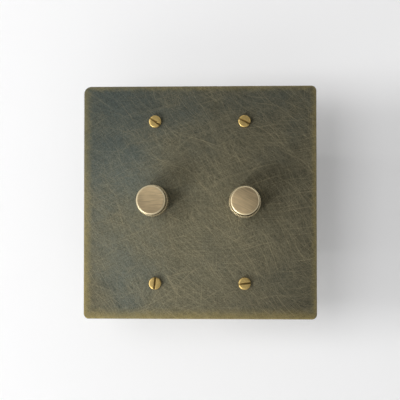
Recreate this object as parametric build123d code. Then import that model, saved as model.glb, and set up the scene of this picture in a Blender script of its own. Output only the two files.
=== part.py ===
from build123d import *
import math
import os

# Double rotary dimmer switch: a square brass plate that carries two push-and-turn dimmer modules.
# Millimetres. +X is right, +Y goes into the wall, +Z is up. The wall plane is y = 0.
# Each module is drawn about its own spindle axis and then placed, left and right.

# Face plate
plate_width = 120.0
plate_height = 120.0
plate_thickness = 4.0
plate_corner_r = 2.6
plate_worn_corner_r = 3.7
plate_edge = 0.5
recess_depth = 1.5
recess_gap = 1.5
recess_corner = 4.0
knob_pitch = 47.5
knob_rise = 0.5

# Box screws at the two-gang pitch, waisted where they pass the plate
box_pitch_x = 46.04
box_pitch_z = 83.34
box_screw_d = 3.5
box_screw_hole_gap = 0.25
box_screw_neck_d = 2.8
box_screw_reach = 22.0
box_head_d = 6.3
box_head_h = 1.8
box_slot_w = 1.0
box_slot_depth = 0.9
box_slot_turns = {(-1, 1): -35.0, (1, 1): -27.0, (-1, -1): 85.0, (1, -1): 6.0}

# Mounting bush and its nut
bush_d = 8.0
bush_hole_gap = 0.1
bush_flange_w = 12.0
bush_flange_t = 1.5
bush_flange_gap = 0.2
bush_proud = 1.3
nut_across_flats = 11.0
nut_t = 2.2
thread_gap = 0.05

# Spindle and its clip
spindle_d = 6.0
spindle_flat = 1.5
running_gap = 0.05
clip_t = 0.8
clip_groove = 0.6
clip_fit = 0.05
clip_gap = 0.3
clip_turn_gap = 0.25
push_travel = 1.5

# Knob and the leaf spring that holds it on the spindle
knob_plate_gap = 0.5
knob_cap_h = 5.6
knob_band_h = 6.4
knob_wall = 0.9
knob_nut_gap = 0.55
knob_crown = 1.4
knob_bush_gap = 0.6
knob_shoulder = 0.75
knob_rim = 1.0
knurl_teeth = 52
knurl_depth = 0.4
knob_bore_gap = 0.03
leaf_t = 0.3
leaf_w = 4.0
leaf_gap = 0.02

# Dimmer case and rear cover
case_width = 40.0
case_height = 56.0
case_depth = 24.0
case_corner = 2.0
case_wall = 1.8
case_front_wall = 2.0
cover_depth = 10.0
key_w = 4.0
key_h = 2.4
key_length = 1.2
key_gap = 0.1
key_height = 19.0
vent_w = 1.6
vent_length = 15.0
vent_pitch = 3.6
vent_count = 7
vent_height = 8.0
hook_w = 5.0
hook_t = 1.2
hook_length = 5.5
hook_nib = 0.8
hook_nib_h = 1.6
hook_gap = 0.1

# Rotor, its stops and its wiper
rotor_across_flats = 13.2
rotor_sides = 12
rotor_t = 4.0
rotor_lug_w = 3.0
rotor_lug_reach = 9.0
rotor_axial_gap = 0.2
rotor_clip_gap = 0.6
stop_depth = 2.0
stop_gap = 0.25
turn_half_range = 135.0
stop_spare_angle = 1.0
well_wall = 2.0
well_gap = 0.3
wiper_t = 0.4
wiper_leg_w = 1.4
wiper_foot_w = 2.4
wiper_tip = 1.2
wiper_gap = 0.2
track_gap = 0.4

# Circuit board
board_t = 1.6
board_edge_gap = 0.2
board_spindle_gap = 0.5

# Push switch
switch_w = 16.0
switch_wall = 1.2
switch_cavity = 11.4
switch_slide_gap = 0.3
nose_w = 4.6
spindle_switch_gap = 0.3
plunger_gap = 0.3
plunger_seat_gap = 0.2
plunger_flange_t = 2.0
spring_d = 4.4
spring_wire = 0.5
spring_turns = 3
spring_sides = 6
spring_end_gap = 0.05
bridge_t = 0.5
bridge_h = 2.0
bridge_rise = 4.2
contact_w = 1.6
contact_tip = 0.6
contact_spread = 7.6
contact_gap = 0.3
contact_post = 1.5
contact_tail = 1.2
contact_hole_gap = 0.05
base_t = 1.2

# Heat sink and power transistor
sink_t = 2.0
sink_height = 26.0
sink_depth = 18.0
sink_wall_gap = 0.3
package_w = 10.0
package_t = 4.5
package_h = 9.2
package_lift = 2.0
tab_t = 1.3
tab_h = 6.4
lead_w = 0.8
lead_pitch = 2.54

# Choke, capacitor and fuse
choke_width = 16.0
choke_height = 12.5
choke_t = 5.0
choke_leg = 4.0
choke_yoke = 2.4
choke_top_gap = 2.95
winding_t = 2.4
winding_gap = 0.1
capacitor_w = 7.0
capacitor_depth = 10.0
capacitor_h = 16.0
capacitor_x = 13.6
capacitor_z = 4.5
capacitor_edge = 0.7
fuse_w = 4.0
fuse_depth = 8.0
fuse_h = 8.5
fuse_z = -9.5

# Wire terminals
cage_w = 7.0
cage_depth = 7.0
cage_h = 8.6
cage_pitch = 8.6
cage_gap = 0.2
cage_inset = 0.4
cage_wall = 1.0
cage_screw_wall = 1.4
tail_w = 1.2
tail_t = 0.8
tail_proud = 0.6
tail_hole_gap = 0.2
screw_window = 5.4

# Earth tab on the back of the plate
earth_gap = 1.0
earth_foot = 7.0
earth_t = 0.8
earth_blade_w = 6.3
earth_blade_length = 9.0

# Stations along the depth, from the plate's front to the cover's back
plate_front = -plate_thickness
case_front = -recess_depth
case_inside = case_front + case_front_wall
flange_rear = case_inside + bush_flange_t
nut_front = plate_front - nut_t
bush_front = nut_front - bush_proud
clip_front = flange_rear + clip_gap
clip_rear = clip_front + clip_t
rotor_front = clip_rear + push_travel + rotor_clip_gap
well_floor = rotor_front - rotor_axial_gap
stop_rear = rotor_front + stop_depth
rotor_rear = rotor_front + rotor_t
wiper_rear = rotor_rear + wiper_t
board_front = wiper_rear + track_gap
board_rear = board_front + board_t
spindle_rear = board_rear - push_travel - spindle_switch_gap
plunger_front = spindle_rear + plunger_gap
switch_inside = board_rear + switch_wall
plunger_flange_front = switch_inside + plunger_seat_gap
plunger_flange_rear = plunger_flange_front + plunger_flange_t
bridge_rear = plunger_flange_rear + bridge_t
bridge_tip_rear = bridge_rear + contact_tip
contact_front = bridge_tip_rear + push_travel + contact_gap
base_front = contact_front + contact_post
base_rear = base_front + base_t
case_rear = case_front + case_depth
cover_rear = case_rear + cover_depth
cover_inside = cover_rear - case_wall
knob_rear = plate_front - push_travel - knob_plate_gap
band_front = knob_rear - knob_band_h
knob_front = band_front - knob_cap_h
cavity_front = bush_front - push_travel - knob_bush_gap
spindle_front = knob_front + knob_crown
cage_rear = cover_inside - cage_gap
cage_front = cage_rear - cage_depth
package_front = board_rear + package_lift
package_rear = package_front + package_h
core_front = board_rear + winding_t + winding_gap

# Widths and places that follow from the fits
bush_bore_d = spindle_d + 2 * running_gap
bush_hole_d = bush_d + 2 * bush_hole_gap
nut_across_corners = nut_across_flats / math.cos(math.radians(30))
cavity_d = nut_across_corners + 2 * knob_nut_gap
band_root_d = cavity_d + 2 * knob_wall
band_d = band_root_d + 2 * knurl_depth
cap_d = band_d - 2 * knob_shoulder
leaf_top = spindle_flat + leaf_gap + leaf_t
neck_w = spindle_d - 2 * clip_groove
socket_w = bush_flange_w + 2 * bush_flange_gap
clip_w = (socket_w - 2 * clip_turn_gap) / math.sqrt(2)
rotor_d = rotor_across_flats / math.cos(math.pi / rotor_sides)
well_w = 2 * (rotor_lug_reach + well_gap)
inner_width = case_width - 2 * case_wall
inner_height = case_height - 2 * case_wall
choke_rise = (inner_height - choke_height) / 2 - choke_top_gap
sink_left = sink_wall_gap - inner_width / 2
sink_face = sink_left + sink_t
cage_bottom = cage_inset - case_height / 2
cage_top = cage_bottom + cage_h
cage_middle = (cage_bottom + cage_top) / 2
cage_xs = [-cage_pitch, 0.0, cage_pitch]
earth_top = knob_rise - case_height / 2 - earth_gap
earth_bottom = earth_top - earth_foot
contact_xs = [-contact_spread / 2, contact_spread / 2]
hook_x = cage_pitch + cage_w / 2 + 2 * cage_gap + hook_w / 2
hook_places = [(sx * hook_x, sz) for sx in (-1, 1) for sz in (-1, 1)]
box_places = [(sx, sz) for sz in (1, -1) for sx in (-1, 1)]
sides = {"left": -knob_pitch / 2, "right": knob_pitch / 2}


# Shapes that several pieces use

def rod(diameter, y_front, y_rear, x=0.0, z=0.0):
    length = y_rear - y_front
    return Pos(x, (y_front + y_rear) / 2, z) * Rot(X=90) * Cylinder(diameter / 2, length)


def prism(sketch, y_front, y_rear):
    return extrude(Plane.XZ.offset(-y_rear) * sketch, amount=y_rear - y_front)


def block(width, height, y_front, y_rear, x=0.0, z=0.0):
    return Pos(x, (y_front + y_rear) / 2, z) * Box(width, y_rear - y_front, height)


def cut_corners(width, height, corner):
    return chamfer(Rectangle(width, height).vertices(), corner)


def d_section(diameter, flat):
    below_flat = Pos(0, flat - diameter) * Rectangle(2 * diameter, 2 * diameter)
    return Circle(diameter / 2) & below_flat


# Plate, box screws and earth tab

def make_face_plate():
    # The top left corner is worn rounder than the others
    corners = Rectangle(plate_width, plate_height).vertices().sort_by(lambda v: v.Y - v.X)
    outline = fillet(corners[:-1], plate_corner_r)
    worn_corner = outline.vertices().sort_by(lambda v: v.Y - v.X)[-1]
    plate = prism(fillet(worn_corner, plate_worn_corner_r), plate_front, 0)
    plate = chamfer(plate.faces().sort_by(Axis.Y)[0].edges(), plate_edge)
    recess_w = knob_pitch + case_width + 2 * recess_gap
    recess_h = 2 * (recess_gap - earth_bottom)
    plate -= prism(cut_corners(recess_w, recess_h, recess_corner), case_front, 0)
    for x in sides.values():
        plate -= rod(bush_hole_d, plate_front, 0, x, knob_rise)
        pocket_front = case_front - key_length - key_gap
        plate -= block(key_w + 2 * key_gap, key_h + 2 * key_gap, pocket_front, case_front,
                       x, knob_rise + key_height)
    for sx, sz in box_places:
        hole_d = box_screw_d + 2 * box_screw_hole_gap
        plate -= rod(hole_d, plate_front, 0, sx * box_pitch_x / 2, sz * box_pitch_z / 2)
    return plate


def make_plate_screws():
    # The waist lies in the plate, and the threaded length starts at the wall plane
    head_front = plate_front - box_head_h
    screw = rod(box_head_d, head_front, plate_front) + rod(box_screw_neck_d, plate_front, 0)
    screw += rod(box_screw_d, 0, box_screw_reach)
    screw -= block(2 * box_head_d, box_slot_w, head_front, head_front + box_slot_depth)
    return [Pos(sx * box_pitch_x / 2, 0, sz * box_pitch_z / 2) * Rot(Y=-box_slot_turns[(sx, sz)]) * screw
            for sx, sz in box_places]


def make_earth_tab():
    foot = block(earth_blade_w, earth_foot, case_front, case_front + earth_t,
                 z=(earth_top + earth_bottom) / 2)
    return foot + block(earth_blade_w, earth_t, case_front, case_front + earth_blade_length,
                        z=earth_bottom + earth_t / 2)


# Knob, leaf spring, spindle and clip

def knurl_outline():
    step = 2 * math.pi / knurl_teeth
    corners = []
    for tooth in range(knurl_teeth):
        for radius, angle in ((band_d / 2, tooth * step), (band_root_d / 2, (tooth + 0.5) * step)):
            corners.append((radius * math.cos(angle), radius * math.sin(angle)))
    return Polygon(*corners, align=None)


def make_knob():
    cap = rod(cap_d, knob_front, knob_rear)
    cap = chamfer(cap.faces().sort_by(Axis.Y)[0].edges(), knob_rim)
    knob = prism(knurl_outline(), band_front, knob_rear) + cap
    knob -= rod(cavity_d, cavity_front, knob_rear)
    bore = d_section(spindle_d + 2 * knob_bore_gap, leaf_top + leaf_gap)
    return knob - prism(bore, spindle_front - knob_bore_gap, cavity_front)


def make_knob_leaf():
    return block(leaf_w, leaf_t, spindle_front, cavity_front, z=leaf_top - leaf_t / 2)


def make_spindle():
    spindle = prism(d_section(spindle_d, spindle_flat), spindle_front, spindle_rear)
    for sx in (-1, 1):
        spindle -= block(clip_groove, spindle_d, clip_front, clip_rear, sx * (spindle_d - clip_groove) / 2)
    return spindle


def make_spindle_clip():
    slot_top = spindle_flat + clip_fit
    slot = Pos(0, slot_top - clip_w / 2) * Rectangle(neck_w + 2 * clip_fit, clip_w)
    return prism(Rectangle(clip_w, clip_w) - slot, clip_front, clip_rear)


# Bush and nut

def make_mounting_bush():
    flange = block(bush_flange_w, bush_flange_w, case_inside, flange_rear)
    return rod(bush_d, bush_front, case_inside) + flange - rod(bush_bore_d, bush_front, flange_rear)


def make_bush_nut():
    hexagon = RegularPolygon(nut_across_corners / 2, 6)
    return prism(hexagon, nut_front, plate_front) - rod(bush_d + 2 * thread_gap, nut_front, plate_front)


# Case and cover

def stop_outline():
    # The wedge that the rotor's lug meets just past each end of its turn
    half_angle = math.radians(180.0 - turn_half_range - stop_spare_angle)
    apex = rotor_lug_w / 2 / math.sin(half_angle)
    reach = 2 * well_w
    side, drop = reach * math.sin(half_angle), apex + reach * math.cos(half_angle)
    wedge = Polygon((0, -apex), (-side, -drop), (side, -drop), align=None)
    ledge_h = (well_w - rotor_d) / 2 - stop_gap
    ledge = Pos(0, (ledge_h - well_w) / 2) * Rectangle(well_w, ledge_h)
    return ledge & wedge


def make_dimmer_case():
    case = prism(cut_corners(case_width, case_height, case_corner), case_front, case_rear)
    case -= block(inner_width, inner_height, case_inside, case_rear)
    well_outer = well_w + 2 * well_wall
    case += block(well_outer, well_outer, case_inside, board_front)
    case -= block(well_w, well_w, well_floor, board_front)
    case -= block(socket_w, socket_w, case_inside, well_floor)
    case += prism(stop_outline(), well_floor, stop_rear - rotor_axial_gap)
    window_front = case_rear - hook_length - hook_gap
    window_rear = window_front + hook_nib_h + 2 * hook_gap
    for x, sz in hook_places:
        case -= block(hook_w + 2 * hook_gap, case_wall, window_front, window_rear,
                      x, sz * (case_height - case_wall) / 2)
    case += block(key_w, key_h, case_front - key_length, case_front, z=key_height)
    return case - block(bush_hole_d, bush_hole_d, case_front, case_inside)


def make_rear_cover():
    cover = prism(cut_corners(case_width, case_height, case_corner), case_rear, cover_rear)
    cover -= block(inner_width, inner_height, case_rear, cover_inside)
    pocket_h = cage_top + cage_gap + case_height / 2
    shelf_h = pocket_h + case_wall
    cover += block(inner_width, shelf_h, case_rear, cover_inside, z=(shelf_h - case_height) / 2)
    for x in cage_xs:
        cover -= block(cage_w + 2 * cage_gap, pocket_h, case_rear, cover_inside,
                       x, (pocket_h - case_height) / 2)
        cover -= block(screw_window, screw_window, cover_inside, cover_rear, x, cage_middle)
    for vent in range(vent_count):
        x = (vent - (vent_count - 1) / 2) * vent_pitch
        cover -= block(vent_w, vent_length, cover_inside, cover_rear, x, vent_height)
    for x, sz in hook_places:
        tip = case_rear - hook_length
        cover += block(hook_w, hook_t, tip, cover_inside,
                       x, sz * (inner_height / 2 - hook_gap - hook_t / 2))
        cover += block(hook_w, hook_nib + hook_gap, tip, tip + hook_nib_h,
                       x, sz * (inner_height + hook_nib - hook_gap) / 2)
    return cover


# Rotor and wiper

def make_rotor():
    rotor = prism(RegularPolygon(rotor_d / 2, rotor_sides), rotor_front, rotor_rear)
    rotor += block(rotor_lug_w, rotor_lug_reach, rotor_front, stop_rear, z=rotor_lug_reach / 2)
    return rotor - prism(d_section(bush_bore_d, spindle_flat + running_gap), rotor_front, rotor_rear)


def make_wiper():
    # A fork round the spindle, with a foot that carries the contact tip
    gap_w = bush_bore_d + 2 * wiper_gap
    width = gap_w + 2 * wiper_leg_w
    foot_z = -gap_w / 2 - wiper_foot_w
    fork = Pos(0, foot_z / 2) * Rectangle(width, -foot_z) - Pos(0, -gap_w / 4) * Rectangle(gap_w, gap_w / 2)
    tip = block(width, wiper_tip, wiper_rear, board_front - track_gap / 4, z=foot_z + wiper_tip / 2)
    return prism(fork, rotor_rear, wiper_rear) + tip


# Circuit board and the push switch behind it

def make_circuit_board():
    width, height = inner_width - 2 * board_edge_gap, inner_height - 2 * board_edge_gap
    cut_w = spindle_d + 2 * board_spindle_gap
    board = block(width, height, board_front, board_rear) - block(cut_w, cut_w, board_front, board_rear)
    for x in cage_xs:
        board -= block(tail_w + 2 * tail_hole_gap, tail_t + 2 * tail_hole_gap, board_front, board_rear,
                       x, cage_middle)
    return board


def make_switch_body():
    body = block(switch_w, switch_w, board_rear, base_front)
    body -= block(switch_cavity, switch_cavity, switch_inside, base_front)
    hole = nose_w + 2 * switch_slide_gap
    return body - block(hole, hole, board_rear, switch_inside)


def make_switch_base():
    base = block(switch_w, switch_w, base_front, base_rear)
    hole = contact_w + 2 * contact_hole_gap
    for x in contact_xs:
        base -= block(hole, hole, base_front, base_rear, x, bridge_rise)
    return base


def make_switch_contacts():
    return [block(contact_w, contact_w, contact_front, base_rear + contact_tail, x, bridge_rise)
            for x in contact_xs]


def make_switch_plunger():
    flange_w = switch_cavity - 2 * switch_slide_gap
    return (block(nose_w, nose_w, plunger_front, plunger_flange_front)
            + block(flange_w, flange_w, plunger_flange_front, plunger_flange_rear))


def make_contact_bridge():
    bridge = block(contact_spread + contact_w, bridge_h, plunger_flange_rear, bridge_rear, z=bridge_rise)
    for x in contact_xs:
        bridge += block(contact_w, contact_w, bridge_rear, bridge_tip_rear, x, bridge_rise)
    return bridge


def make_return_spring():
    # A helix in straight steps of square wire
    start = plunger_flange_rear + spring_end_gap + spring_wire / 2
    rise = base_front - spring_end_gap - spring_wire / 2 - start
    steps = spring_turns * spring_sides
    points = []
    for step in range(steps + 1):
        angle = 2 * math.pi * step / spring_sides
        points.append((spring_d / 2 * math.cos(angle), start + rise * step / steps,
                       spring_d / 2 * math.sin(angle)))
    path = Polyline(*points)
    section = Plane(path @ 0, x_dir=(0, 1, 0), z_dir=path % 0) * Rectangle(spring_wire, spring_wire)
    return sweep(section, path=path, transition=Transition.RIGHT)


# Heat sink, transistor, choke, capacitor and fuse

def make_heat_sink():
    return block(sink_t, sink_height, board_rear, board_rear + sink_depth, sink_left + sink_t / 2)


def make_power_transistor():
    middle = sink_face + package_t / 2
    package = block(package_t, package_w, package_front, package_rear, middle)
    package += block(tab_t, package_w, package_rear, package_rear + tab_h, sink_face + tab_t / 2)
    for step in (-1, 0, 1):
        package += block(lead_w, lead_w, board_rear, package_front, middle, step * lead_pitch)
    return package


def make_choke_core():
    window_w = (choke_width - choke_leg - 2 * choke_yoke) / 2
    window_h = choke_height - 2 * choke_yoke
    core = block(choke_width, choke_height, core_front, core_front + choke_t, z=choke_rise)
    for sx in (-1, 1):
        core -= block(window_w, window_h, core_front, core_front + choke_t,
                      sx * (choke_leg + window_w) / 2, choke_rise)
    return core


def make_choke_winding():
    width = choke_leg + 2 * (winding_gap + winding_t)
    height = choke_height - 2 * choke_yoke - 2 * winding_gap
    depth = choke_t + 2 * (winding_gap + winding_t)
    winding = block(width, height, board_rear, board_rear + depth, z=choke_rise)
    return winding - block(choke_leg + 2 * winding_gap, height, core_front - winding_gap,
                           core_front + choke_t + winding_gap, z=choke_rise)


def make_capacitor():
    body = block(capacitor_w, capacitor_h, board_rear, board_rear + capacitor_depth,
                 capacitor_x, capacitor_z)
    return chamfer(body.faces().sort_by(Axis.Y)[-1].edges(), capacitor_edge)


def make_fuse():
    return block(fuse_w, fuse_h, board_rear, board_rear + fuse_depth, capacitor_x, fuse_z)


# Wire terminals

def make_terminal_cages():
    cage = block(cage_w, cage_h, cage_front, cage_rear, z=cage_middle)
    cage -= block(cage_w - 2 * cage_wall, cage_h, cage_front + cage_wall, cage_rear - cage_screw_wall,
                  z=cage_middle)
    cage += block(tail_w, tail_t, board_front - tail_proud, cage_front, z=cage_middle)
    return [Pos(x, 0, 0) * cage for x in cage_xs]


# Writing the pieces

def write(name, solids):
    shape = solids[0] if len(solids) == 1 else Compound(solids)
    export_step(shape, f"parts/{name}.step")


def write_both_sides(name, shapes):
    solids = shapes if isinstance(shapes, list) else [shapes]
    for side, x in sides.items():
        write(f"{name}_{side}", [Pos(x, 0, knob_rise) * solid for solid in solids])


def main():
    os.makedirs("parts", exist_ok=True)
    write("face_plate", [make_face_plate()])
    write("plate_screws", make_plate_screws())
    write("earth_tab", [make_earth_tab()])
    write_both_sides("knob", make_knob())
    write_both_sides("knob_leaf", make_knob_leaf())
    write_both_sides("spindle", make_spindle())
    write_both_sides("spindle_clip", make_spindle_clip())
    write_both_sides("mounting_bush", make_mounting_bush())
    write_both_sides("bush_nut", make_bush_nut())
    write_both_sides("dimmer_case", make_dimmer_case())
    write_both_sides("rear_cover", make_rear_cover())
    write_both_sides("rotor", make_rotor())
    write_both_sides("wiper", make_wiper())
    write_both_sides("circuit_board", make_circuit_board())
    write_both_sides("switch_body", make_switch_body())
    write_both_sides("switch_base", make_switch_base())
    write_both_sides("switch_contacts", make_switch_contacts())
    write_both_sides("switch_plunger", make_switch_plunger())
    write_both_sides("contact_bridge", make_contact_bridge())
    write_both_sides("return_spring", make_return_spring())
    write_both_sides("heat_sink", make_heat_sink())
    write_both_sides("power_transistor", make_power_transistor())
    write_both_sides("choke_core", make_choke_core())
    write_both_sides("choke_winding", make_choke_winding())
    write_both_sides("capacitor", make_capacitor())
    write_both_sides("fuse", make_fuse())
    write_both_sides("terminal_cages", make_terminal_cages())


main()
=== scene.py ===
import math

import bmesh
import bpy
from mathutils import Matrix, Vector


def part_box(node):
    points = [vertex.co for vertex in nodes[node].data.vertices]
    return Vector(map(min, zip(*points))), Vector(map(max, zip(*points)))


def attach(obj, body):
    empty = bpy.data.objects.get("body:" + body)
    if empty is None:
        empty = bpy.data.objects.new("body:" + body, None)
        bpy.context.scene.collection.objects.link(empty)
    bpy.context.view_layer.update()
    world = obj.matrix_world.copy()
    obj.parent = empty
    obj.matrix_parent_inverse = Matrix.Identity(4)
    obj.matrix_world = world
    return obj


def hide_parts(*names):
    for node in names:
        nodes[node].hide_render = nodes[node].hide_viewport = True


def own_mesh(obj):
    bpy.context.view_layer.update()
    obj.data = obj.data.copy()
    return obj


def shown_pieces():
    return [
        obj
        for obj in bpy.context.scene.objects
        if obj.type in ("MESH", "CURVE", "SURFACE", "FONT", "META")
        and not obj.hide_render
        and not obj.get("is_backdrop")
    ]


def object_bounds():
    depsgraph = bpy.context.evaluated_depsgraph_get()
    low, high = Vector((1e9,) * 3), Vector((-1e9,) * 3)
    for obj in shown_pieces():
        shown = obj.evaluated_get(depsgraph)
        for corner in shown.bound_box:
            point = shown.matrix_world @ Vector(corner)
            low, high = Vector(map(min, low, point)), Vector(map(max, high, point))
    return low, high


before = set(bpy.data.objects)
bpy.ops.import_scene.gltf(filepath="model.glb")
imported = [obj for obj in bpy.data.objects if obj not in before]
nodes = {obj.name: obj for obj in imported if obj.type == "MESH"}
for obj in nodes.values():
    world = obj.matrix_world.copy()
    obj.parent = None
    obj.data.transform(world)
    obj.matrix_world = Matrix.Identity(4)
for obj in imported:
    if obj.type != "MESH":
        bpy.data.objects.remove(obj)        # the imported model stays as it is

scene = bpy.context.scene
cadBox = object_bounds()
mm = 0.001
sides = ("left", "right")
print("frame:", len(nodes), "nodes")


# Shader sums

class Wire:        # one output of a node, which takes part in sums
    def __init__(self, tree, socket):
        self.tree, self.socket = tree, socket

    def sum(self, operation, *values):
        return self.tree.node("ShaderNodeMath", {"operation": operation}, dict(enumerate(values)))

    def __add__(self, other):
        return self.sum("ADD", self, other)

    def __radd__(self, other):
        return self.sum("ADD", other, self)

    def __sub__(self, other):
        return self.sum("SUBTRACT", self, other)

    def __rsub__(self, other):
        return self.sum("SUBTRACT", other, self)

    def __mul__(self, other):
        return self.sum("MULTIPLY", self, other)

    def __rmul__(self, other):
        return self.sum("MULTIPLY", other, self)

    def __pow__(self, other):
        return self.sum("POWER", self, other)

    def __abs__(self):
        return self.sum("ABSOLUTE", self)

    def least(self, other):
        return self.sum("MINIMUM", self, other)

    def most(self, other):
        return self.sum("MAXIMUM", self, other)

    def sine(self):
        return self.sum("SINE", self)

    def swing(self, share):        # a noise moved to swing about 0
        return (self - 0.5) * share

    def soft(self, low, high):        # 0 at low, 1 at high, eased between
        return self.tree.node("ShaderNodeMapRange", {"interpolation_type": "SMOOTHSTEP"},
                              {"Value": self, "From Min": low, "From Max": high})

    def other(self, output):        # another output of the same node
        return Wire(self.tree, self.socket.node.outputs[output])


class Tree:        # a node tree that any node is added to by one method
    def __init__(self, tree):
        self.tree = tree

    def node(self, kind, settings=None, inputs=None, out=0):
        made = self.tree.nodes.new(kind)
        for name, value in (settings or {}).items():
            setattr(made, name, value)
        for key, value in (inputs or {}).items():
            self.feed(made.inputs[key], value)
        return Wire(self, made.outputs[out])

    def feed(self, socket, value):
        if isinstance(value, Wire):
            self.tree.links.new(value.socket, socket)
        elif socket.type == "RGBA" and len(value) == 3:
            socket.default_value = (*value, 1.0)
        else:
            socket.default_value = value

    def noise(self, point, scale, detail, rough=0.5):
        return self.node("ShaderNodeTexNoise", None,
                         {"Vector": point, "Scale": scale, "Detail": detail, "Roughness": rough})

    def blend(self, share, first, second, how="MIX"):
        return self.node("ShaderNodeMix", {"data_type": "RGBA", "blend_type": how},
                         {0: share, 6: first, 7: second}, 2)

    def vector(self, x, y, z):
        return self.node("ShaderNodeCombineXYZ", None, {0: x, 1: y, 2: z})

    def parts(self, vector):
        x = self.node("ShaderNodeSeparateXYZ", None, {0: vector})
        return x, x.other(1), x.other(2)

    def dot(self, first, second):
        return self.node("ShaderNodeVectorMath", {"operation": "DOT_PRODUCT"}, {0: first, 1: second}, "Value")


class Finish(Tree):        # a material, with the place on the part in millimetres
    def __init__(self, name, fixed):
        self.material = bpy.data.materials.new(name)
        self.material.use_nodes = True
        super().__init__(self.material.node_tree)
        self.shader = self.tree.nodes["Principled BSDF"]
        self.set(fixed)
        place = self.node("ShaderNodeTexCoord", out="Object")
        self.point = self.node("ShaderNodeVectorMath", {"operation": "SCALE"}, {0: place, "Scale": 1 / mm})
        self.x, self.y, self.z = self.parts(self.point)

    def set(self, values):
        for name, value in values.items():
            self.feed(self.shader.inputs[name], value)

    def shifted(self, x, z):        # the place moved along the front, so that two noises differ
        return self.vector(self.x + x, self.y, self.z + z)

    def turned(self, degrees, x, z):        # how far along and across a direction, mm
        c, s = math.cos(math.radians(degrees)), math.sin(math.radians(degrees))
        return x * c + z * s, z * c - x * s

    def strokes(self, degrees, along, across, seed, detail=2.0):        # grain drawn out one way
        u, v = self.turned(degrees, self.x, self.z)
        return self.noise(self.vector(u * along, self.y * across + seed, v * across), 1.0, detail)

    def reach(self, x, z):        # how far a place on the front is from a point, mm
        return ((self.x - x) * (self.x - x) + (self.z - z) * (self.z - z)) ** 0.5

    def bump(self, height, depth, strength):
        return self.node("ShaderNodeBump", None,
                         {"Strength": strength, "Distance": depth * mm, "Height": height}, "Normal")


# Finishes of the front: noises are waves per mm, detail and roughness

plateLook = {
    "metallic": 0.85, "specular": 0.4, "roughness": 0.60,
    "slate": (0.203, 0.243, 0.219),
    "olive": (0.276, 0.257, 0.170),
    "bareBrass": (0.60, 0.47, 0.165),
    "scratch": (0.62, 0.52, 0.31),
    "half": 60.0,        # plate half width, mm
    "clouds": (0.030, 3.0, 0.5), "patches": (0.085, 4.0, 0.6), "patchShift": (90.0, -40.0),
    "mottle": (0.62, 4.0, 0.7), "grain": (1.9, 2.0, 0.6),
    "warmth": 0.95, "cloudShare": 0.9, "patchShare": 0.6,
    "slateAt": (        # x, z, reach, weight
        (-52.0, 52.0, 62.0, 0.75), (-40.0, -4.0, 40.0, 0.30),
        (-34.0, -44.0, 34.0, 0.35), (22.0, 64.0, 60.0, 0.30)),
    "slateCore": 0.2,        # share of the reach that is slate in full
    "rubbing": (        # degrees, waves per mm along and across, share
        (-56.0, 0.036, 4.2, 1.0), (-48.0, 0.044, 5.0, 1.0), (-66.0, 0.040, 4.6, 1.0),
        (-38.0, 0.050, 4.4, 0.9), (28.0, 0.044, 4.6, 0.9), (42.0, 0.050, 5.2, 0.8),
        (12.0, 0.046, 4.4, 0.9), (-78.0, 0.044, 4.8, 0.8), (80.0, 0.050, 4.6, 0.8),
        (-22.0, 0.046, 4.9, 0.9)),
    "rubbingSeed": (1.7, 7.3),        # first, and step
    "bend": (0.020, 1.0), "bendShift": (-70.0, 0.0), "bendBy": 26.0,        # the rubbing sweeps round, mm
    "lineFrom": (0.66, 0.84),        # where a stroke starts to show, and shows in full
    "lineMost": 1.6, "lineShare": 0.23, "strokeShare": 0.28,
    "quietShare": 0.45,        # rubbing that still shows on slate
    "tone": 0.53, "patchTone": 0.14, "mottleTone": 0.5, "grainTone": 1.3,
    "litPoolAt": (-20.0, -20.0), "litPoolReach": (84.0, 18.0), "litPoolBy": 0.31,        # painted light: the plate is lighter towards the lower left, where the light comes from, mm
    "ragged": (0.45, 4.0, 0.75), "raggedBy": 4.6,        # how far the worn edges wander, mm
    "worn": {        # mm in from the edge where wear starts and is full, share
        "left": (5.2, -1.0, 0.36), "low": (6.5, -1.0, 0.56),
        "right": (4.0, -1.0, 0.40), "top": (3.2, -0.5, 0.36)},
    "lowerLeft": (20.0, -20.0), "lowerLeftMore": 0.20,        # the left edge is barer below
    "wornEven": 0.25, "wornMottle": 0.7, "wornGrain": 0.6,
    "frontFrom": (-3.30, -3.95),        # y of the eased edge and of the front face
    "patchRough": 0.16, "wornRough": 0.10, "mottleRough": 0.14,
    "bumpMottle": 0.5, "bumpGrain": 0.5, "bumpDepth": 0.03, "bumpStrength": 0.5,
}


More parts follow.
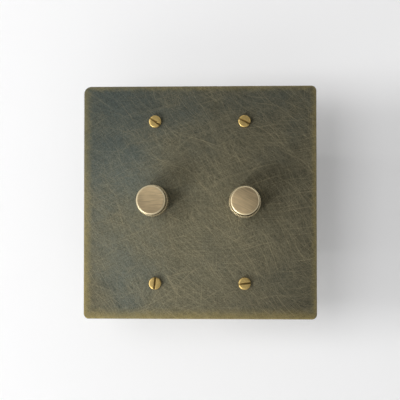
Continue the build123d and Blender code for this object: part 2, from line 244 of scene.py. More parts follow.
def agedPlate():
    look = plateLook
    f = Finish("agedPlate", {"Metallic": look["metallic"], "Specular IOR Level": look["specular"]})
    clouds = f.noise(f.point, *look["clouds"])
    patches = f.noise(f.shifted(*look["patchShift"]), *look["patches"])
    mottle = f.noise(f.point, *look["mottle"])
    grain = f.noise(f.point, *look["grain"])
    warm = clouds.swing(look["cloudShare"]) + patches.swing(look["patchShare"]) + look["warmth"]
    for x, z, far, weight in look["slateAt"]:
        warm = warm - f.reach(x, z).soft(far, far * look["slateCore"]) * weight
    olive = warm.soft(0.0, 1.0)
    colour = f.blend(olive, look["slate"], look["olive"])

    bentX = f.x + f.noise(f.point, *look["bend"]).swing(look["bendBy"])
    bentZ = f.z + f.noise(f.shifted(*look["bendShift"]), *look["bend"]).swing(look["bendBy"])
    seed, seedStep = look["rubbingSeed"]
    lines, strokes = 0.0, 0.0
    for number, (degrees, along, across, share) in enumerate(look["rubbing"]):
        u, v = f.turned(degrees, bentX, bentZ)
        sweep = f.noise(f.vector(u * along, seedStep * number + seed, v * across), 1.0, 0.0)
        lines = lines + sweep.soft(*look["lineFrom"]) * share
        strokes = strokes + sweep.swing(share)
    loud = look["quietShare"] + olive * (1.0 - look["quietShare"])
    # painted light: the tone rises towards the lower left, where the light comes from
    tone = look["tone"] + f.reach(*look["litPoolAt"]).soft(*look["litPoolReach"]) * look["litPoolBy"]
    tone = tone + patches.swing(look["patchTone"])
    speckle = 1.0 + mottle.swing(look["mottleTone"]) + grain.swing(look["grainTone"])
    tone = tone * (speckle + strokes * loud * look["strokeShare"])
    colour = f.blend(1.0, colour, f.vector(tone, tone, tone), "MULTIPLY")
    colour = f.blend(lines.least(look["lineMost"]) * loud * look["lineShare"], colour, look["scratch"])

    half, worn = look["half"], look["worn"]
    ragged = f.noise(f.point, *look["ragged"]).swing(look["raggedBy"])
    start, full, share = worn["left"]
    below = f.z.soft(*look["lowerLeft"]) * look["lowerLeftMore"]
    wear = (f.x + half + ragged).soft(start, full) * (share + below)
    for edge, inward in (("low", f.z + half), ("right", half - f.x), ("top", half - f.z)):
        start, full, share = worn[edge]
        wear = wear.most((inward + ragged).soft(start, full) * share)
    broken = look["wornEven"] + mottle * look["wornMottle"] + grain * look["wornGrain"]
    colour = f.blend(wear * f.y.soft(*look["frontFrom"]) * broken, colour, look["bareBrass"])
    rough = look["roughness"] + patches.swing(look["patchRough"]) - wear * look["wornRough"]
    rough = rough + mottle.swing(look["mottleRough"])
    height = mottle * look["bumpMottle"] + grain * look["bumpGrain"]
    f.set({"Base Color": colour, "Roughness": rough,
           "Normal": f.bump(height, look["bumpDepth"], look["bumpStrength"])})
    return f


knobLook = {
    "brass": (0.80, 0.69, 0.46),        # rim, wall and skirt
    "pale": (0.90, 0.71, 0.43),
    "dull": (0.46, 0.36, 0.22),
    # dark colour for the knurl valleys and for the painted shade under the cap
    "grimeAndShade": (0.20, 0.15, 0.085),
    "brushing": {"left": 2.0, "right": -27.0},        # degrees, rising to the right
    "broad": (0.09, 1.6, 5.0, 2.0), "fine": (0.15, 3.6, 17.0, 1.0),        # along, across, seed, detail
    "haze": (0.16, 2.0, 0.5), "stain": (1.3, 3.0, 0.6),
    "broadShare": 0.35, "fineShare": 1.1, "hazeShare": 0.5,
    # painted sheen: the two knobs' faces get different tones, after how their brushing catches the light
    "tone": {"left": 0.28, "right": 0.49},
    "paintedSheenSlope": {"left": (0.02, 0.05), "right": (-0.065, -0.045)},        # painted sheen: change of tone across and up, per mm, after how the brushing catches the light
    "flatFrom": (0.6, 0.3), "neckFrom": (0.80, 1.90),        # mm behind the face, as the next two are
    "grooveFrom": (4.0, 5.6), "teethFrom": (6.0, 6.3),
    "skirtFrom": 7.60, "valley": (8.06, 7.90), "ease": 0.08,        # radius, mm
    "tarnishFrom": (0.5, 0.8), "tarnishShare": 0.4,        # on the skirt
    # painted shade on the cap's wall and in the groove under it
    "neckPaintedShade": 0.25, "groovePaintedShade": 0.65,
    "wornAway": (0.8, -0.6), "wornFrom": (3.0, -1.0), "wornShare": 0.85,        # painted light: the side towards the light keeps little of the painted shade under the cap
    "rimRoughness": 0.50, "faceRoughness": 0.57, "skirtRoughness": 0.38,
    "neckRoughness": 0.26, "wornRoughness": 0.55, "fineRough": 0.25, "stainRough": 0.2,
    "bumpFine": 0.6, "bumpBroad": 0.4, "bumpDepth": 0.02, "bumpStrength": 0.6,
}


def brushedKnob(side, seat, face, front):        # seat turns the knob's own frame to the part's
    look = knobLook
    f = Finish("brushedKnob_" + side, {"Metallic": 1.0})
    own = f.node("ShaderNodeVectorMath", {"operation": "SUBTRACT"}, {0: f.point, 1: seat.translation / mm})
    dx, dy, dz = [f.dot(own, seat.col[i].to_3d()) for i in range(3)]
    broad = f.strokes(look["brushing"][side], *look["broad"])
    fine = f.strokes(look["brushing"][side], *look["fine"])
    haze = f.noise(f.point, *look["haze"])
    stain = f.noise(f.point, *look["stain"])
    radius = (dx * dx + dz * dz) ** 0.5
    behind = dy - front        # mm behind the face
    flat = radius.soft(face + look["ease"], face - look["ease"]) * behind.soft(*look["flatFrom"])
    neck = behind.soft(*look["neckFrom"])        # the cap's wall down to the groove
    groove = behind.soft(*look["grooveFrom"])
    skirt = radius.soft(look["skirtFrom"] - look["ease"], look["skirtFrom"])
    # painted light: the side of the knob that faces the light
    wornX, wornZ = look["wornAway"]
    worn = (dx * wornX + dz * wornZ).soft(*look["wornFrom"])

    # painted sheen: the face tone slopes across and up, after how the brushing catches the light; the noises
    # are real brushing streaks
    across, up = look["paintedSheenSlope"][side]
    streaksAndSheen = broad.swing(look["broadShare"]) + fine.swing(look["fineShare"]) + haze.swing(look["hazeShare"])
    streaksAndSheen = streaksAndSheen + dx * across + dz * up
    brushed = f.blend(look["tone"][side] + streaksAndSheen, look["dull"], look["pale"])
    colour = f.blend(flat, look["brass"], brushed)
    tarnish = skirt * stain.soft(*look["tarnishFrom"]) * look["tarnishShare"]
    colour = f.blend(tarnish, colour, look["dull"])
    betweenTeeth = skirt * radius.soft(*look["valley"]) * behind.soft(*look["teethFrom"])
    colour = f.blend(betweenTeeth, colour, look["grimeAndShade"])
    # painted shade under the cap, lifted by painted light on the side towards the light
    paintedShadeUnderCap = (neck * look["neckPaintedShade"] + groove * look["groovePaintedShade"]) * (1.0 - skirt)
    colour = f.blend(paintedShadeUnderCap * (1.0 - worn * look["wornShare"]), colour, look["grimeAndShade"])

    rim = look["rimRoughness"]
    neckRough = look["neckRoughness"] + worn * (look["wornRoughness"] - look["neckRoughness"])
    rough = rim + flat * (look["faceRoughness"] - rim + fine.swing(look["fineRough"]))
    rough = rough + skirt * (look["skirtRoughness"] - rim + stain.swing(look["stainRough"]))
    rough = rough + neck * (1.0 - skirt) * (neckRough - rim)
    height = (fine * look["bumpFine"] + broad * look["bumpBroad"]) * flat
    f.set({"Base Color": colour, "Roughness": rough,
           "Normal": f.bump(height, look["bumpDepth"], look["bumpStrength"])})
    return f


screwLook = {
    "gold": (0.90, 0.655, 0.25), "tarnish": (0.56, 0.40, 0.15), "slotShade": (0.20, 0.14, 0.05),
    "stain": (0.8, 3.0, 0.6), "stainFrom": (0.42, 0.75), "stainShare": 0.55, "stainRough": 0.2,
    "lathe": (20.0, 0.3, 3.2, 3.0), "latheRough": 0.12,        # degrees, along, across, seed
    "slotShadeFrom": (-5.3, -5.0), "slotShadeTo": (-3.9, -4.1), "slotShadeShare": 0.85,        # painted shade in the slot and down the head's side, y from the slot floor to the head foot
    "roughness": 0.48, "bumpDepth": 0.012, "bumpStrength": 0.4,
}


def goldenScrew():
    look = screwLook
    f = Finish("goldenScrew", {"Metallic": 1.0})
    stain = f.noise(f.point, *look["stain"])
    lathe = f.strokes(*look["lathe"])
    colour = f.blend(stain.soft(*look["stainFrom"]) * look["stainShare"], look["gold"], look["tarnish"])
    # painted shade: the slot and the head's side are darkened
    paintedSlotShade = f.y.soft(*look["slotShadeFrom"]) * f.y.soft(*look["slotShadeTo"])
    colour = f.blend(paintedSlotShade * look["slotShadeShare"], colour, look["slotShade"])
    rough = look["roughness"] + stain.swing(look["stainRough"]) + lathe.swing(look["latheRough"])
    f.set({"Base Color": colour, "Roughness": rough,
           "Normal": f.bump(lathe, look["bumpDepth"], look["bumpStrength"])})
    return f


# Finishes of the works behind

metalGrain = {
    "stain": (0.45, 3.0, 0.6), "stainFrom": (0.35, 0.75), "stainShare": 0.7, "stainRough": 0.2,
    "along": 0.25, "seed": 9.0, "drawnRough": 0.15, "bumpStrength": 0.5,
}


def metal(name, bright, dull, roughness, across=3.0, degrees=0.0, depth=0.01):
    g = metalGrain
    f = Finish(name, {"Metallic": 1.0})
    stain = f.noise(f.point, *g["stain"])
    drawn = f.strokes(degrees, g["along"], across, g["seed"])
    f.set({"Base Color": f.blend(stain.soft(*g["stainFrom"]) * g["stainShare"], bright, dull),
           "Roughness": roughness + stain.swing(g["stainRough"]) + drawn.swing(g["drawnRough"]),
           "Normal": f.bump(drawn, depth, g["bumpStrength"])})
    return f


mouldingGrain = {
    "specular": 0.45, "pebble": (2.0, 0.55), "flow": (0.05, 3.0, 0.6), "rub": (0.5, 4.0, 0.65),
    "flowShare": 0.6, "rubShare": 0.4, "lightFrom": (0.3, 0.7),
    "rubRough": 0.18, "pebbleRough": 0.10, "bumpStrength": 0.6,
}


def moulding(name, light, dark, roughness, scale=3.4, depth=0.03):
    g = mouldingGrain
    f = Finish(name, {"Specular IOR Level": g["specular"]})
    pebble = f.noise(f.point, scale, *g["pebble"])
    flow = f.noise(f.point, *g["flow"])
    rub = f.noise(f.point, *g["rub"])
    pale = (flow * g["flowShare"] + rub * g["rubShare"]).soft(*g["lightFrom"])
    f.set({"Base Color": f.blend(pale, dark, light),
           "Roughness": roughness + rub.swing(g["rubRough"]) + pebble.swing(g["pebbleRough"]),
           "Normal": f.bump(pebble, depth, g["bumpStrength"])})
    return f


threadLook = {
    "bright": (0.80, 0.61, 0.32), "dull": (0.55, 0.42, 0.22), "pitch": 0.75, "roughness": 0.26,
    "stain": (0.5, 3.0, 0.6), "stainFrom": (0.35, 0.75), "stainShare": 0.6, "stainRough": 0.2,
    "bumpDepth": 0.12, "bumpStrength": 0.5,
}


def threadedBrass():        # turned brass whose thread runs along the depth
    look = threadLook
    f = Finish("threadedBrass", {"Metallic": 1.0})
    stain = f.noise(f.point, *look["stain"])
    ridge = (f.y * (2 * math.pi / look["pitch"])).sine() * 0.5 + 0.5
    colour = f.blend(stain.soft(*look["stainFrom"]) * look["stainShare"], look["bright"], look["dull"])
    f.set({"Base Color": colour, "Roughness": look["roughness"] + stain.swing(look["stainRough"]),
           "Normal": f.bump(ridge, look["bumpDepth"], look["bumpStrength"])})
    return f


boardLook = {
    "dark": (0.20, 0.115, 0.045), "light": (0.30, 0.185, 0.08), "lightFrom": (0.35, 0.65),
    "specular": 0.45, "roughness": 0.42, "fibreRough": 0.3, "bumpDepth": 0.02, "bumpStrength": 0.5,
    "warp": (0.0, 0.4, 2.6, 2.0), "weft": (90.0, 0.4, 2.6, 8.0),        # degrees, along, across, seed
}


def boardLaminate():
    look = boardLook
    f = Finish("boardLaminate", {"Specular IOR Level": look["specular"]})
    fibre = f.strokes(*look["warp"]) * 0.5 + f.strokes(*look["weft"]) * 0.5
    f.set({"Base Color": f.blend(fibre.soft(*look["lightFrom"]), look["dark"], look["light"]),
           "Roughness": look["roughness"] + fibre.swing(look["fibreRough"]),
           "Normal": f.bump(fibre, look["bumpDepth"], look["bumpStrength"])})
    return f


windingLook = {
    "gap": (0.20, 0.07, 0.03), "copper": (0.72, 0.34, 0.17), "copperFrom": (0.0, 0.55), "pitch": 0.55,
    "coat": 0.4, "coatRoughness": 0.15, "roughness": 0.28, "stain": (0.6, 2.0, 0.5), "stainRough": 0.2,
    "bumpDepth": 0.2, "bumpStrength": 0.8,
}


def woundCopper():        # enamelled turns laid side by side
    look = windingLook
    f = Finish("woundCopper", {"Metallic": 1.0, "Coat Weight": look["coat"],
                               "Coat Roughness": look["coatRoughness"]})
    turn = abs((f.z * (math.pi / look["pitch"])).sine())
    stain = f.noise(f.point, *look["stain"])
    f.set({"Base Color": f.blend(turn.soft(*look["copperFrom"]), look["gap"], look["copper"]),
           "Roughness": look["roughness"] + stain.swing(look["stainRough"]),
           "Normal": f.bump(turn, look["bumpDepth"], look["bumpStrength"])})
    return f


def dress(piece, finish):
    piece.data.materials.clear()
    piece.data.materials.append(finish.material)


def kindOf(nodeName):        # the node's name without its side
    return nodeName.removesuffix("_left").removesuffix("_right")


caseBlack = moulding("caseBlack", (0.034, 0.034, 0.036), (0.020, 0.020, 0.022), 0.52)
creamNylon = moulding("creamNylon", (0.62, 0.59, 0.50), (0.52, 0.49, 0.41), 0.45, 2.0, 0.02)
switchBlack = moulding("switchBlack", (0.030, 0.030, 0.033), (0.018, 0.018, 0.020), 0.38, 4.5, 0.015)
ferriteGrey = moulding("ferriteGrey", (0.036, 0.035, 0.034), (0.018, 0.018, 0.018), 0.70, 1.6, 0.05)
amberCase = moulding("amberCase", (0.60, 0.37, 0.035), (0.46, 0.27, 0.025), 0.25, 1.2, 0.02)
tinnedBrass = metal("tinnedBrass", (0.74, 0.70, 0.58), (0.52, 0.48, 0.38), 0.32, 2.5, 90.0)
springSteel = metal("springSteel", (0.66, 0.66, 0.65), (0.46, 0.46, 0.46), 0.26, 3.5)
turnedBrass = metal("turnedBrass", (0.82, 0.63, 0.33), (0.58, 0.44, 0.23), 0.26)
millAluminium = metal("millAluminium", (0.72, 0.73, 0.74), (0.56, 0.57, 0.58), 0.42, 2.8, 90.0, 0.02)
platedSteel = metal("platedSteel", (0.70, 0.69, 0.64), (0.50, 0.49, 0.45), 0.30, 3.0, 15.0)

worksFinish = {
    "earth_tab": tinnedBrass, "terminal_cages": tinnedBrass, "switch_contacts": tinnedBrass,
    "contact_bridge": tinnedBrass, "knob_leaf": springSteel, "spindle_clip": springSteel,
    "wiper": springSteel, "return_spring": springSteel, "spindle": turnedBrass, "bush_nut": turnedBrass,
    "mounting_bush": threadedBrass(), "dimmer_case": caseBlack, "rear_cover": caseBlack,
    "rotor": creamNylon, "switch_plunger": creamNylon, "switch_body": switchBlack,
    "switch_base": switchBlack, "power_transistor": switchBlack, "fuse": switchBlack,
    "circuit_board": boardLaminate(), "heat_sink": millAluminium, "choke_core": ferriteGrey,
    "choke_winding": woundCopper(), "capacitor": amberCase,
}
for nodeName, node in nodes.items():
    if kindOf(nodeName) in worksFinish:
        dress(node, worksFinish[kindOf(nodeName)])
print("finishes: works dressed")


# Mesh helpers

def toPiece(name, made, sharpFrom=32.0):
    mesh = bpy.data.meshes.new(name)
    bmesh.ops.recalc_face_normals(made, faces=made.faces)
    made.to_mesh(mesh)
    made.free()
    mesh.shade_smooth()
    mesh.set_sharp_from_angle(angle=math.radians(sharpFrom))
    piece = bpy.data.objects.new(name, mesh)
    scene.collection.objects.link(piece)
    return piece


def circle(radius, y, segments, centre):        # radius is a number, or a rule that takes the angle
    points = []
    for step in range(segments):
        angle = 2 * math.pi * step / segments
        r = radius(angle) if callable(radius) else radius
        points.append(Vector((centre.x + r * mm * math.cos(angle), y * mm,
                              centre.z + r * mm * math.sin(angle))))
    return points


def loft(made, rings):        # rings of equal length, skinned row by row and closed at both ends
    rows = [[made.verts.new(point) for point in ring] for ring in rings]
    for first, second in zip(rows, rows[1:]):
        for here in range(len(first)):
            there = (here + 1) % len(first)
            made.faces.new((first[here], first[there], second[there], second[here]))
    made.faces.new(rows[0][::-1])
    made.faces.new(rows[-1])


def settle(piece):        # the modifiers' result becomes the mesh
    graph = bpy.context.evaluated_depsgraph_get()
    mesh = bpy.data.meshes.new_from_object(piece.evaluated_get(graph))
    piece.modifiers.clear()
    piece.data = mesh


def bevelled(piece, width, segments, sharpFrom):
    bevel = piece.modifiers.new("easedEdges", "BEVEL")
    bevel.width = width * mm
    bevel.segments = segments
    bevel.limit_method = "ANGLE"
    bevel.angle_limit = math.radians(sharpFrom)
    bevel.use_clamp_overlap = True


weldWithin = 0.001        # mm between corners that count as one


def eased(node, width, segments=2, sharpFrom=40.0):        # rounds a solid's edges, its mesh stays as it is
    weld = node.modifiers.new("weld", "WELD")
    weld.merge_threshold = weldWithin * mm
    bevelled(node, width, segments, sharpFrom)


# Face plate

plateEdge = {"round": 0.22, "segments": 3, "sharpFrom": 30.0}
dress(nodes["face_plate"], agedPlate())
eased(nodes["face_plate"], plateEdge["round"], plateEdge["segments"], plateEdge["sharpFrom"])
print("plate: dressed")


# Knobs: turned cap with a polished rim, undercut shoulder and knurled skirt

knobShape = {
    "teeth": 60, "pointsPerTooth": 6, "root": 7.80, "depth": 0.42, "toothEase": 0.42,
    "skirt": 6.4, "rearIn": 0.12, "rearEase": 0.06,
    "cone": ((0.70, 0.24), (0.35, 0.08)),        # tooth left, mm behind the skirt's front
    "groove": 7.62, "grooveDepth": 1.00, "grooveEase": 0.05, "wallStart": 0.2,
    "cap": {"left": 7.46, "right": 7.28}, "rim": {"left": 0.72, "right": 0.54},
    "rimSlope": 0.92, "rimEase": 0.14, "rimSteps": 4,
    "faceIn": 1.0, "faceRings": (3.5, 1.2),
    "cavity": 7.25, "cavityDepth": 3.6, "cavityEase": 0.15, "bore": 3.05, "boreEnd": 1.25,
    "lean": {"left": (1.1, -2.3), "right": (3.3, 0.8)},        # degrees up and to the right
    "seat": {"left": (-0.12, -9.0, 0.20), "right": (-0.48, -13.0, -0.26)},        # off x, pivot y, off z
    "sharpFrom": 38.0,
}


def knobProfile(side, front, rear):        # radius and y, from the bore round the skirt to the face
    k = knobShape
    cap, rim = k["cap"][side], k["rim"][side]
    rimDrop = rim * k["rimSlope"]
    band = rear - k["skirt"]        # front of the skirt
    cavityFront = rear - k["cavityDepth"]

    def tooth(angle):
        return k["root"] + k["depth"] * (0.5 + 0.5 * math.cos(angle * k["teeth"]))

    def fading(share):        # a tooth that runs out towards the groove
        return lambda angle: share * tooth(angle) + (1 - share) * k["groove"]

    profile = [
        (k["bore"], front + k["boreEnd"]), (k["bore"], cavityFront), (k["cavity"], cavityFront),
        (k["cavity"], rear - k["cavityEase"]), (k["cavity"] + k["cavityEase"], rear),
        (k["root"] - k["rearIn"], rear), (k["root"], rear - k["rearEase"]),
        (tooth, rear - k["toothEase"]), (tooth, band + k["toothEase"]),
    ]
    profile += [(fading(share), band + back) for share, back in k["cone"]]
    profile += [
        (k["groove"] + k["grooveEase"], band), (k["groove"], band + k["grooveEase"]),
        (k["groove"], band + k["grooveDepth"]), (cap, band + k["grooveDepth"]),
        (cap, band - k["wallStart"]),
    ]
    wall, face = Vector((cap, front + rimDrop)), Vector((cap - rim, front))
    down, inward = Vector((0.0, k["rimEase"])), Vector((-k["rimEase"], 0.0))
    slope = Vector((-rim, -rimDrop)).normalized() * k["rimEase"]
    for corner, before, after in ((wall, down, slope), (face, -slope, inward)):
        for step in range(k["rimSteps"] + 1):        # each corner of the rim is eased
            t = step / k["rimSteps"]
            profile.append(tuple(corner + before * (1 - t) ** 2 + after * t ** 2))
    profile.append((cap - rim - k["faceIn"], front))
    return profile + [(radius, front) for radius in k["faceRings"]]


def makeKnob(side):
    k = knobShape
    low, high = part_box("knob_" + side)
    centre = (low + high) / 2
    front, rear = low.y / mm, high.y / mm
    segments = k["teeth"] * k["pointsPerTooth"]
    made = bmesh.new()
    loft(made, [circle(r, y, segments, centre) for r, y in knobProfile(side, front, rear)])
    up, right = k["lean"][side]
    offX, at, offZ = k["seat"][side]
    lean = Matrix.Rotation(math.radians(-up), 4, "X") @ Matrix.Rotation(math.radians(right), 4, "Z")
    seat = Matrix.Translation(Vector((centre.x + offX * mm, at * mm, centre.z + offZ * mm))) @ lean
    pivot = Vector((centre.x, at * mm, centre.z))
    bmesh.ops.transform(made, verts=made.verts, matrix=seat @ Matrix.Translation(-pivot))
    knob = toPiece("dimmerKnob_" + side, made, k["sharpFrom"])
    dress(knob, brushedKnob(side, seat, k["cap"][side] - k["rim"][side], front - at))
    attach(knob, "knob_group_" + side)
    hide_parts("knob_" + side)


for side in sides:
    makeKnob(side)
print("knobs: made")


# Box screws: slotted heads on threaded stems

slotHead = {"sides": 64, "easeRows": 6, "easeTall": 1.15, "flat": 0.45,
            "slotEase": 0.07, "slotSegments": 2, "slotSharpFrom": 50.0, "sharpFrom": 40.0}

boxScrew = {
    "pitchX": 46.04, "pitchZ": 83.34,
    "head": 3.15, "ease": 0.55, "slot": 1.0, "slotDepth": 0.76,
    "neck": 1.40, "neckGap": 0.01, "stem": 1.75, "stemSides": 24,
    "threadDepth": 0.30, "threadPitch": 0.60, "rowsPerTurn": 6, "leadIn": 0.5,
    "point": 1.2, "pointIn": 0.45, "pointThread": 0.4,
    "turns": {(-1, 1): -35.0, (1, 1): -27.0, (-1, -1): 85.0, (1, -1): 6.0},        # slot, degrees
}


def slottedHead(name, centre, shape, front, rear, turn):
    h = slotHead
    radius, ease = shape["head"], shape["ease"]
    tall = ease * h["easeTall"]
    rows = [(radius, rear), (radius, front + tall)]
    for step in range(1, h["easeRows"] + 1):
        t = step / h["easeRows"] * math.pi / 2
        rows.append((radius - ease * (1 - math.cos(t)), front + tall * (1 - math.sin(t))))
    rows.append((radius * h["flat"], front))
    made = bmesh.new()
    loft(made, [circle(r, y, h["sides"], centre) for r, y in rows])
    head = toPiece(name, made)
    cut = bmesh.new()
    bmesh.ops.create_cube(cut, size=1.0)
    place = Matrix.Translation(Vector((centre.x, front * mm, centre.z)))
    spin = Matrix.Rotation(math.radians(-turn), 4, "Y")
    size = Matrix.Diagonal((4 * radius * mm, 2 * shape["slotDepth"] * mm, shape["slot"] * mm, 1.0))
    bmesh.ops.transform(cut, matrix=place @ spin @ size, verts=cut.verts)
    cutter = toPiece(name + "Cutter", cut)
    slotCut = head.modifiers.new("slot", "BOOLEAN")
    slotCut.object, slotCut.operation, slotCut.solver = cutter, "DIFFERENCE", "EXACT"
    bevelled(head, h["slotEase"], h["slotSegments"], h["slotSharpFrom"])
    settle(head)
    bpy.data.objects.remove(cutter)
    return head


def threadedStem(made, centre, neckFront, start, end):
    s = boxScrew
    rows = int((end - start) / s["threadPitch"] * s["rowsPerTurn"])
    rings = [circle(s["neck"], y, s["stemSides"], centre) for y in (neckFront, start)]
    for row in range(rows + 1):
        y = start + (end - start) * row / rows
        lead = min(1.0, (y - start) / s["leadIn"])
        tip = min(1.0, (end - y) / s["point"])
        outer = s["stem"] - (1 - tip) * s["pointIn"]
        depth = s["threadDepth"] * lead * (s["pointThread"] + (1 - s["pointThread"]) * tip)

        def ridge(angle):
            phase = (y / s["threadPitch"] - angle / (2 * math.pi)) % 1.0
            return outer - depth * abs(phase - 0.5) * 2

        rings.append(circle(ridge, y, s["stemSides"], centre))
    loft(made, rings)


def makeBoxScrews():
    s = boxScrew
    low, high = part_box("plate_screws")
    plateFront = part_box("face_plate")[0].y / mm
    made = bmesh.new()
    for (sx, sz), turn in s["turns"].items():
        centre = Vector((sx * s["pitchX"] / 2 * mm, 0.0, sz * s["pitchZ"] / 2 * mm))
        head = slottedHead("head", centre, s, low.y / mm, plateFront, turn)
        made.from_mesh(head.data)
        bpy.data.objects.remove(head)
        threadedStem(made, centre, plateFront + s["neckGap"], 0.0, high.y / mm)
    screws = toPiece("boxScrews", made, slotHead["sharpFrom"])
    dress(screws, goldenScrew())
    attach(screws, "housing")
    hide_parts("plate_screws")


makeBoxScrews()
print("box screws: made")


# Clamp screws in the cover's windows, behind

clampScrew = {
    "pitch": 8.6, "head": 2.3, "ease": 0.35, "height": 1.5, "sunk": 0.02, "slot": 0.8, "slotDepth": 0.7,
    "turns": (24.0, -61.0, 78.0, -12.0, 47.0, -83.0),
}


def makeClampScrews():
    c = clampScrew
    turns = iter(c["turns"])
    for side in sides:
        low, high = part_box("terminal_cages_" + side)
        middle = (low + high) / 2
        rear = high.y / mm
        made = bmesh.new()
        for step in (-1, 0, 1):
            centre = Vector((middle.x + step * c["pitch"] * mm, 0.0, middle.z))
            head = slottedHead("head", centre, c, -rear - c["height"], -rear + c["sunk"], next(turns))
            for vertex in head.data.vertices:        # made facing front, turned to face the back
                vertex.co.y = -vertex.co.y
            made.from_mesh(head.data)
            bpy.data.objects.remove(head)
        screws = toPiece("clampScrews_" + side, made, slotHead["sharpFrom"])
        dress(screws, platedSteel)
        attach(screws, "housing")


makeClampScrews()
print("clamp screws: made")


# Screws that hold the transistors to the heat sinks

sinkScrew = {
    "head": 2.6, "ease": 0.45, "height": 1.8, "sunk": 0.02, "slot": 0.8, "slotDepth": 0.8,
    "tabThick": 1.3, "tabHalf": 3.2, "turns": {"left": 33.0, "right": -48.0},
}


def makeSinkScrews():
    s = sinkScrew
    facing = Matrix.Rotation(math.radians(90.0), 4, "Z")        # made facing front, turned to face +x
    for side in sides:
        low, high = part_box("power_transistor_" + side)
        at = Vector((low.x + s["tabThick"] * mm, high.y - s["tabHalf"] * mm, (low.z + high.z) / 2))
        screw = slottedHead("sinkScrew_" + side, Vector(), s, -s["height"], s["sunk"], s["turns"][side])
        screw.data.transform(Matrix.Translation(at) @ facing)
        dress(screw, platedSteel)
        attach(screw, "housing")


makeSinkScrews()
print("sink screws: made")


# Return springs: round wire coils about the bush's axis

returnCoil = {
    "turns": 3.5, "radius": 2.2, "wire": 0.25, "wireSides": 10, "stepsPerTurn": 28,
    "travel": 1.5, "sharpFrom": 50.0,
}


def makeReturnCoil(side):
    c = returnCoil
    low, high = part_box("return_spring_" + side)
    axis = sum(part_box("mounting_bush_" + side), Vector()) / 2
    steps = round(c["turns"] * c["stepsPerTurn"])
    start, rise = low.y + c["wire"] * mm, high.y - low.y - 2 * c["wire"] * mm
    along = Vector((0.0, 1.0, 0.0))
    wireTurn = [2 * math.pi * step / c["wireSides"] for step in range(c["wireSides"])]
    rings = []
    for step in range(steps + 1):
        angle = 2 * math.pi * step / c["stepsPerTurn"]
        out = Vector((math.cos(angle), 0.0, math.sin(angle)))
        place = Vector((axis.x, start + rise * step / steps, axis.z)) + out * c["radius"] * mm
        rings.append([place + (out * math.cos(a) + along * math.sin(a)) * c["wire"] * mm for a in wireTurn])
    made = bmesh.new()
    loft(made, rings)
    coil = toPiece("returnCoil_" + side, made, c["sharpFrom"])
    dress(coil, springSteel)
    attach(coil, "housing")
    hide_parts("return_spring_" + side)
    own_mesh(coil)


for side in sides:
    makeReturnCoil(side)
print("return coils: made")


# Eased edges of the mouldings and sheet metal

easeBy = {
    "dimmer_case": 0.30, "rear_cover": 0.30, "earth_tab": 0.12, "bush_nut": 0.25,
    "terminal_cages": 0.15, "rotor": 0.2, "switch_body": 0.2, "heat_sink": 0.15,
}
for nodeName, node in nodes.items():
    if kindOf(nodeName) in easeBy:
        eased(node, easeBy[kindOf(nodeName)])
print("edges: eased")


# Stage and light

stage = {
    "board": (0.96, 0.9585, 0.963), "boardGlow": 0.20, "boardGap": 1.0, "boardSize": 2.8,
    "floor": (0.86, 0.86, 0.85), "floorDrop": 900.0,
    "paper": (0.02, 2.0, 0.5), "paperDip": 0.985, "paperRoughness": 0.9,
    "fill": 0.24,        # what the world sheds
    "seenBase": 0.05, "seenSide": 0.66, "seenPower": 4.0,        # what metal and camera see of it
    "seenTilt": (0.32, 0.50),        # brighter to the right and from above
    "seenGlow": 0.10, "glowFrom": (-0.62, -0.76, -0.18),
    "seenLeast": 0.60,        # pale behind the part from any side
    "lamps": {
        "key": {"on": "part", "place": (-1.06, -0.52, -0.34), "size": (2.1, 1.9), "power": 3.6},
        "side": {"on": "part", "place": (-0.92, -0.84, 0.22), "size": (0.50, 0.50), "power": 4.2},
        "low": {"on": "part", "place": (-0.82, -0.64, -0.68), "size": (0.36, 0.36), "power": 8.2},
        "wash": {"on": "boards", "place": (-1.65, -0.40, 0.02), "size": (0.8, 0.5), "power": 45.0},
        "lift": {"on": "boards", "place": (-0.62, -1.10, 0.10), "size": (0.7, 0.9), "power": 4.8},
        "rear": {"on": "part", "place": (0.35, 1.1, 0.45), "size": (1.0, 1.0), "power": 12.0},
    },
}


def paleBoard(name, colour, seeThroughBack):
    f = Finish(name, {"Specular IOR Level": 0.0, "Roughness": stage["paperRoughness"]})
    paper = f.noise(f.point, *stage["paper"])
    f.set({"Base Color": f.blend(paper, colour, tuple(stage["paperDip"] * c for c in colour))})
    if seeThroughBack:        # seen from behind the board isn't there
        glow = f.node("ShaderNodeEmission", None, {"Color": colour})
        pale = f.node("ShaderNodeMixShader", None,
                      {0: stage["boardGlow"], 1: Wire(f, f.shader.outputs[0]), 2: glow})
        clear = f.node("ShaderNodeBsdfTransparent")
        behind = f.node("ShaderNodeNewGeometry", out="Backfacing")
        mixed = f.node("ShaderNodeMixShader", None, {0: behind, 1: pale, 2: clear})
        f.feed(f.tree.nodes["Material Output"].inputs["Surface"], mixed)
    return f


def sheet(name, corners, finish):
    made = bmesh.new()
    made.faces.new([made.verts.new(corner) for corner in corners])
    mesh = bpy.data.meshes.new(name)
    made.to_mesh(mesh)
    made.free()
    board = bpy.data.objects.new(name, mesh)
    scene.collection.objects.link(board)
    dress(board, finish)
    board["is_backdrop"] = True
    return board


def makeStage():
    half = stage["boardSize"] / 2
    y = cadBox[1].y + stage["boardGap"] * mm
    z = -stage["floorDrop"] * mm
    wall = sheet("backBoard", [(-half, y, z), (half, y, z), (half, y, half), (-half, y, half)],
                 paleBoard("backPaper", stage["board"], True))
    for seen in ("visible_diffuse", "visible_glossy", "visible_transmission", "visible_shadow"):
        setattr(wall, seen, False)        # takes the shadow, and leaves the light on the back alone
    floor = sheet("floorBoard", [(-half, -half, z), (half, -half, z), (half, half, z), (-half, half, z)],
                  paleBoard("floorPaper", stage["floor"], False))
    return [wall, floor]


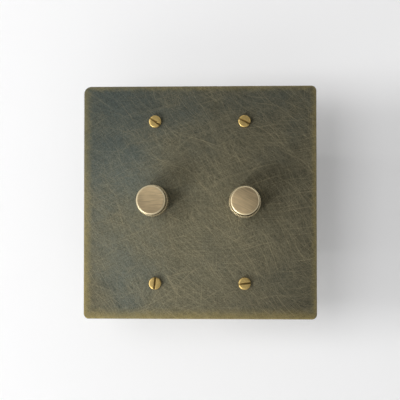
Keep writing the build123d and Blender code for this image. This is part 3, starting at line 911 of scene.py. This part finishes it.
def makeWorld():
    world = bpy.data.worlds.new("studio")
    scene.world = world
    world.use_nodes = True
    background = world.node_tree.nodes["Background"]
    tree = Tree(world.node_tree)
    dx, dy, dz = tree.parts(tree.node("ShaderNodeTexCoord", out="Generated"))
    gx, gy, gz = Vector(stage["glowFrom"]).normalized()
    glow = (dx * gx + dy * gy + dz * gz).most(0.0)
    edgeOn = 1.0 - dy * dy
    tilt = 1.0 + dx * stage["seenTilt"][0] + dz * stage["seenTilt"][1]
    seen = stage["seenBase"] + stage["seenSide"] * edgeOn ** stage["seenPower"] * tilt
    seen = seen + stage["seenGlow"] * glow * glow
    rays = tree.node("ShaderNodeLightPath", out="Is Camera Ray")
    looked = rays.most(rays.other("Is Glossy Ray")).most(rays.other("Is Transmission Ray"))
    level = stage["fill"] + looked * (seen - stage["fill"])
    level = level + rays * (seen.most(stage["seenLeast"]) - seen)
    tree.feed(background.inputs["Strength"], level)
    tree.feed(background.inputs["Color"], (1.0, 1.0, 1.0))


def makeLamp(name, lit):
    shape = stage["lamps"][name]
    lamp = bpy.data.lights.new(name, "AREA")
    lamp.shape = "RECTANGLE"
    lamp.size, lamp.size_y = shape["size"]
    lamp.energy = shape["power"]
    panel = bpy.data.objects.new(name + "Panel", lamp)
    scene.collection.objects.link(panel)
    panel.location = shape["place"]
    panel.rotation_euler = (-panel.location).to_track_quat("-Z", "Y").to_euler()
    panel.visible_camera = False
    panel.light_linking.receiver_collection = lit[shape["on"]]


def group(name, members):
    made = bpy.data.collections.new(name)
    for member in members:
        made.objects.link(member)
    return made


lit = {"boards": group("boards", makeStage()), "part": group("part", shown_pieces())}
makeWorld()
for lampName in stage["lamps"]:
    makeLamp(lampName, lit)
print("stage: made")


# Camera at the photograph's place

cameraView = {
    "place": (0.0255, -0.560, -0.0135), "aim": (-0.00005, 0.0, 0.0013),
    "lens": 97.35, "sensor": 36.0, "clip": (0.01, 20.0),
}


def makeCamera():
    data = bpy.data.cameras.new("camera")
    data.lens, data.sensor_width = cameraView["lens"], cameraView["sensor"]
    data.clip_start, data.clip_end = cameraView["clip"]
    camera = bpy.data.objects.new("camera", data)
    scene.collection.objects.link(camera)
    camera.location = cameraView["place"]
    towards = Vector(cameraView["aim"]) - camera.location
    camera.rotation_euler = towards.to_track_quat("-Z", "Y").to_euler()
    scene.camera = camera


makeCamera()
scene.view_settings.view_transform = "Standard"
print("camera: set")
